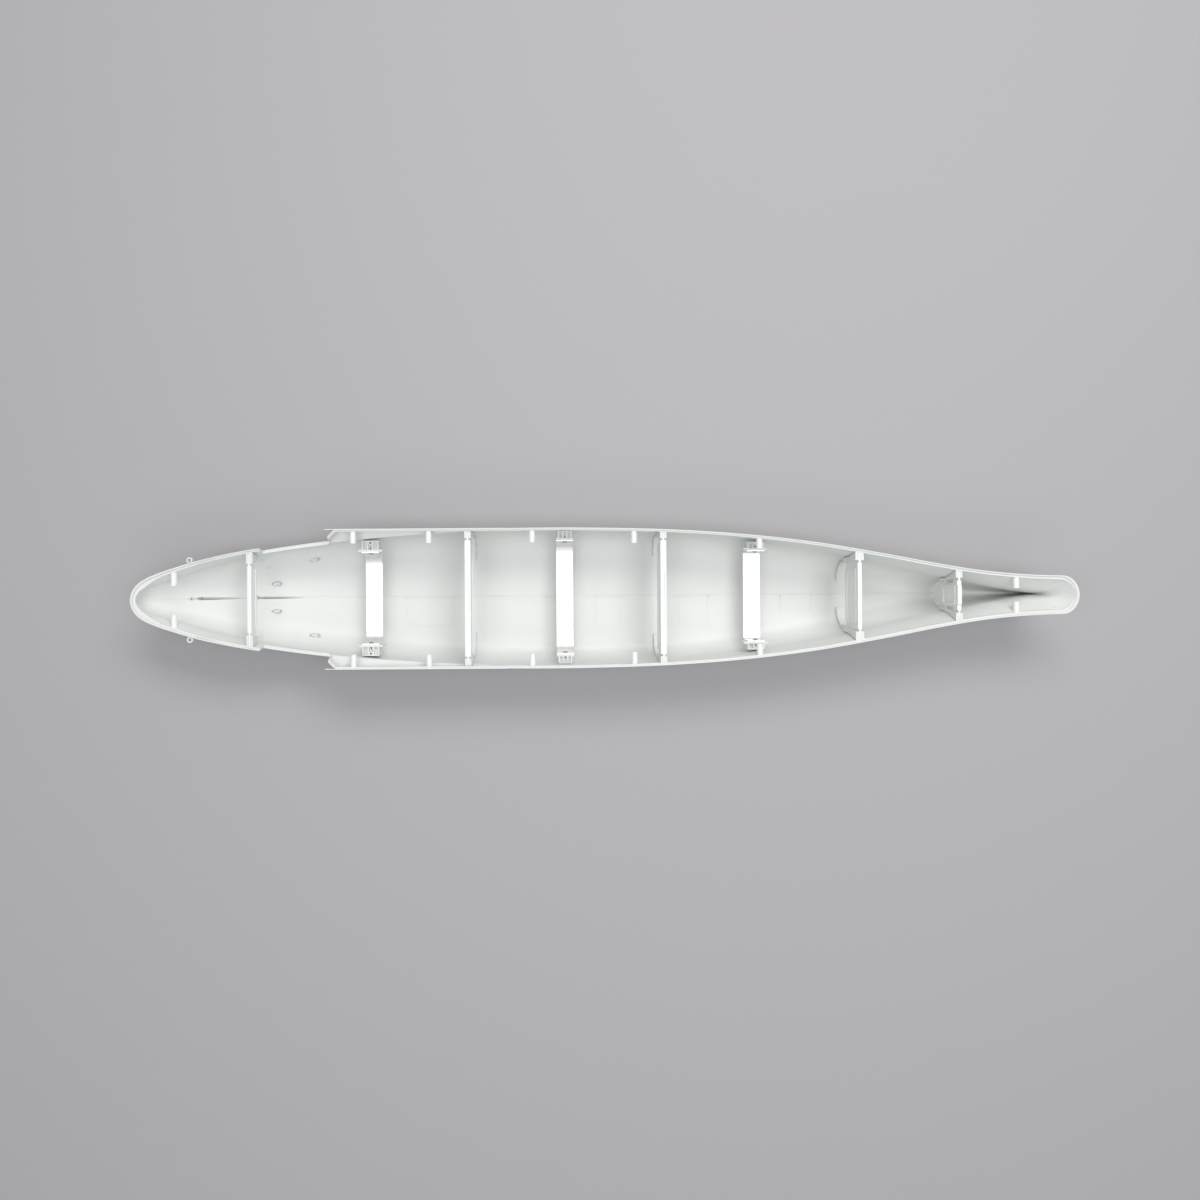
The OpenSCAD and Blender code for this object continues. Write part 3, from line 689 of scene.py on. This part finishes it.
# Small bosses on the side just ahead of the stern frame: station and distance out.
SIDE_BOSSES = [(-490, 55.0), (-484, 43.0), (-490, -55.0)]
BOSS_SINK = 1.5


def side_bosses_mesh(bm):
    for x, y in SIDE_BOSSES:
        foot = Vector((x, y, inside_z(x, abs(y)) - BOSS_SINK))
        lathe(bm, [(1.5, 0), (1.5, 2.6), (1.2, 3.0)], Matrix.Translation(foot * MM), segments=24)


# Each side plate has a thin pointed fin at its after end.
FIN_LENGTH = 20.0
FIN_THICKNESS = 1.1
FIN_RAKE = 7.0


def belt_fins_mesh(bm):
    top, low = sheer_z(PLATE_START) - 0.6, shelf_z(PLATE_FULL) + SHELF_LIP
    for side in (1, -1):
        outer, inner = side * (HALF_BEAM - 0.05), side * (HALF_BEAM - FIN_THICKNESS)
        tip, root = PLATE_START - 1, PLATE_START - 1 + FIN_LENGTH
        outline = [(tip, top), (root, top), (root, low), (tip + FIN_RAKE, low)]
        faces = [[bm.verts.new(Vector((x, y, z)) * MM) for x, z in outline] for y in (outer, inner)]
        bm.faces.new(faces[0])
        bm.faces.new(faces[1][::-1])
        for i in range(4):
            k = (i + 1) % 4
            bm.faces.new((faces[0][i], faces[1][i], faces[1][k], faces[0][k]))


# Narrow raised loops on the rim just ahead of the catapult rings.
LOOP_START = -566.0
LOOP_END = -541.0
LOOP_HALF = 1.5
LOOP_LINE = 0.5
LOOP_HEIGHT = 0.7
LOOP_MARGIN = 0.3
LOOP_STEPS = 8
LOOP_OVERLAP = 1.1


def rim_loops_mesh(bm):
    pace = (LOOP_END - LOOP_START) / LOOP_STEPS
    run = pace * LOOP_OVERLAP
    for side in (1, -1):
        for i in range(LOOP_STEPS):
            x = LOOP_START + pace * (i + 0.5)
            y = side * (plate_y(x, rim_z(x), 0) - LOOP_HALF - LOOP_MARGIN)
            rim_slope = side * (plate_y(x + 1, rim_z(x), 0) - plate_y(x - 1, rim_z(x), 0)) / 2
            turn = Matrix.Rotation(math.atan(rim_slope), 4, "Z")
            place = Matrix.Translation(Vector((x, y, rim_z(x))) * MM) @ turn
            for edge in (-LOOP_HALF, LOOP_HALF):
                block(bm, (0, edge, 0), (run, LOOP_LINE, LOOP_HEIGHT), place)
            if i in (0, LOOP_STEPS - 1):
                end = -run / 2 if i == 0 else run / 2
                block(bm, (end, 0, 0), (LOOP_LINE, 2 * LOOP_HALF, LOOP_HEIGHT), place)


# The shell is drilled for its shaft and rudder bushes. A shaft's hole starts just inside the
# hull and runs aft and down.
SHAFTS = [(-0.712 * HALF_LENGTH, 0.206 * HALF_BEAM), (-0.6265 * HALF_LENGTH, 0.573 * HALF_BEAM)]
SHAFT_TILT = math.radians(12)
SHAFT_RUN = 50.0
BUSH_RADIUS = 2.6
BUSH_HOLE = BUSH_RADIUS + 0.15
MOUTH_RISE = 0.8 * BUSH_RADIUS
POST_HOLE_DROP = 5.0
POST_HOLE_RUN = 35.0


def bush_cutters_mesh(bm):
    for x, y in SHAFTS:
        for side in (1, -1):
            mouth = Vector((x, side * y, inside_z(x, y) + MOUTH_RISE)) * MM
            place = Matrix.Translation(mouth) @ Matrix.Rotation(-math.pi / 2 - SHAFT_TILT, 4, "Y")
            lathe(bm, [(BUSH_HOLE, -1), (BUSH_HOLE, SHAFT_RUN)], place)
    for x in (MAIN_POST_X, SECOND_POST_X):
        foot = Vector((x, 0, bottom_z(x) - POST_HOLE_DROP)) * MM
        lathe(bm, [(BUSH_HOLE, 0), (BUSH_HOLE, POST_HOLE_RUN)], Matrix.Translation(foot))


def drill(piece, cutters_mesh):
    """Cuts holes in a piece's own mesh and takes the cutters away again."""
    cutters = make_object("bush_cutters", cutters_mesh, HULL_GREY)
    cut = piece.modifiers.new("drilled", "BOOLEAN")
    cut.operation = "DIFFERENCE"
    cut.solver = "EXACT"
    cut.object = cutters
    graph = bpy.context.evaluated_depsgraph_get()
    drilled = bpy.data.meshes.new_from_object(piece.evaluated_get(graph))
    piece.modifiers.remove(cut)
    piece.data = drilled
    bpy.data.objects.remove(cutters)


hull = add_piece("hull_shell_piece", shell_mesh, HULL_GREY, HULL_NODES)
drill(hull, bush_cutters_mesh)
add_piece("deck_ledge_pips", pips_mesh, HULL_GREY)
add_piece("side_eyelets", eyelets_mesh, HULL_GREY)
add_piece("floor_panel_lines", floor_panels_mesh, HULL_GREY)
add_piece("side_bosses", side_bosses_mesh, HULL_GREY)
add_piece("side_plate_fins", belt_fins_mesh, HULL_GREY)
add_piece("rim_loops", rim_loops_mesh, HULL_GREY)
for strap_name, strap_x, strap_half in STRAPS:
    screws = strap_name + "_strap_screws"
    add_piece(screws + "_piece", screws_mesh(strap_x, strap_half), SCREW_METAL, [screws])

# Every other node keeps its own mesh, with its edges softened.
EDGE_ROUND = 0.35 * MM
EDGE_ANGLE = math.radians(40)
NODE_FINISH = {"frame_plastic": FRAME_WHITE, "hull_plastic": HULL_GREY, "strap_metal": STRAP_METAL}
for part in frame["record"]["subparts"]:
    node = frame["nodes"].get(part["node"])
    if node is None or part["material_slot"] not in NODE_FINISH or part["node"] in HULL_NODES:
        continue
    node.data.materials.clear()
    node.data.materials.append(NODE_FINISH[part["material_slot"]])
    bevel = node.modifiers.new("soft_edges", "BEVEL")
    bevel.width = EDGE_ROUND
    bevel.segments = 2
    bevel.limit_method = "ANGLE"
    bevel.angle_limit = EDGE_ANGLE

# ---------------------------------------------------------------- floor, light and camera
FLOOR_HALF = 6.0


def floor_mesh(bm):
    bmesh.ops.create_grid(bm, x_segments=1, y_segments=1, size=FLOOR_HALF)


FLOOR = plastic("floor_grey", (0.40, 0.39, 0.40), 0.03, 0.75, 0.0)
floor = make_object("floor", floor_mesh, FLOOR)

# The camera looks straight down from just aft of mid-length. Its place is in metres.
CAMERA_X = -0.0702
CAMERA_Y = 0.047
CAMERA_ABOVE_RIM = 1.24
CAMERA_ROLL = math.radians(0.38)
camera_data = bpy.data.cameras.new("camera")
camera = bpy.data.objects.new("camera", camera_data)
bpy.context.collection.objects.link(camera)
camera.location = (CAMERA_X, CAMERA_Y, DEPTH * MM + CAMERA_ABOVE_RIM)
camera.rotation_euler = (0, 0, -CAMERA_ROLL)
camera_data.sensor_width = 36
camera_data.lens = 26.86
camera_data.shift_x = 0.04
camera_data.shift_y = -0.03
bpy.context.scene.camera = camera


def soft_light(name, place, aim, size, power, color):
    data = bpy.data.lights.new(name, "AREA")
    data.shape = "RECTANGLE"
    data.size, data.size_y = size
    data.energy = power
    data.color = color
    light = bpy.data.objects.new(name, data)
    bpy.context.collection.objects.link(light)
    light.location = place
    direction = Vector(aim) - Vector(place)
    light.rotation_euler = direction.to_track_quat("-Z", "Y").to_euler()


soft_light("key_light", (0.5, 1.7, 2.1), (0.1, 0, 0), (2.4, 1.0), 37, (1.0, 0.99, 0.97))
soft_light("fill_light", (0.3, -1.8, 2.0), (0, 0, 0), (2.4, 1.0), 8, (0.95, 0.97, 1.0))
soft_light("aft_top_light", (-0.95, -0.1, 2.6), (-0.45, 0, 0), (0.9, 1.5), 13, (1.0, 1.0, 1.0))
soft_light("fore_top_light", (0.85, -0.1, 2.6), (0.35, 0, 0), (0.9, 1.5), 16, (1.0, 1.0, 1.0))

world = bpy.data.worlds.new("studio")
bpy.context.scene.world = world
world.use_nodes = True
background = world.node_tree.nodes["Background"]
background.inputs["Color"].default_value = (0.95, 0.97, 1.0, 1)
background.inputs["Strength"].default_value = 0.46
bpy.context.scene.view_settings.view_transform = "Standard"
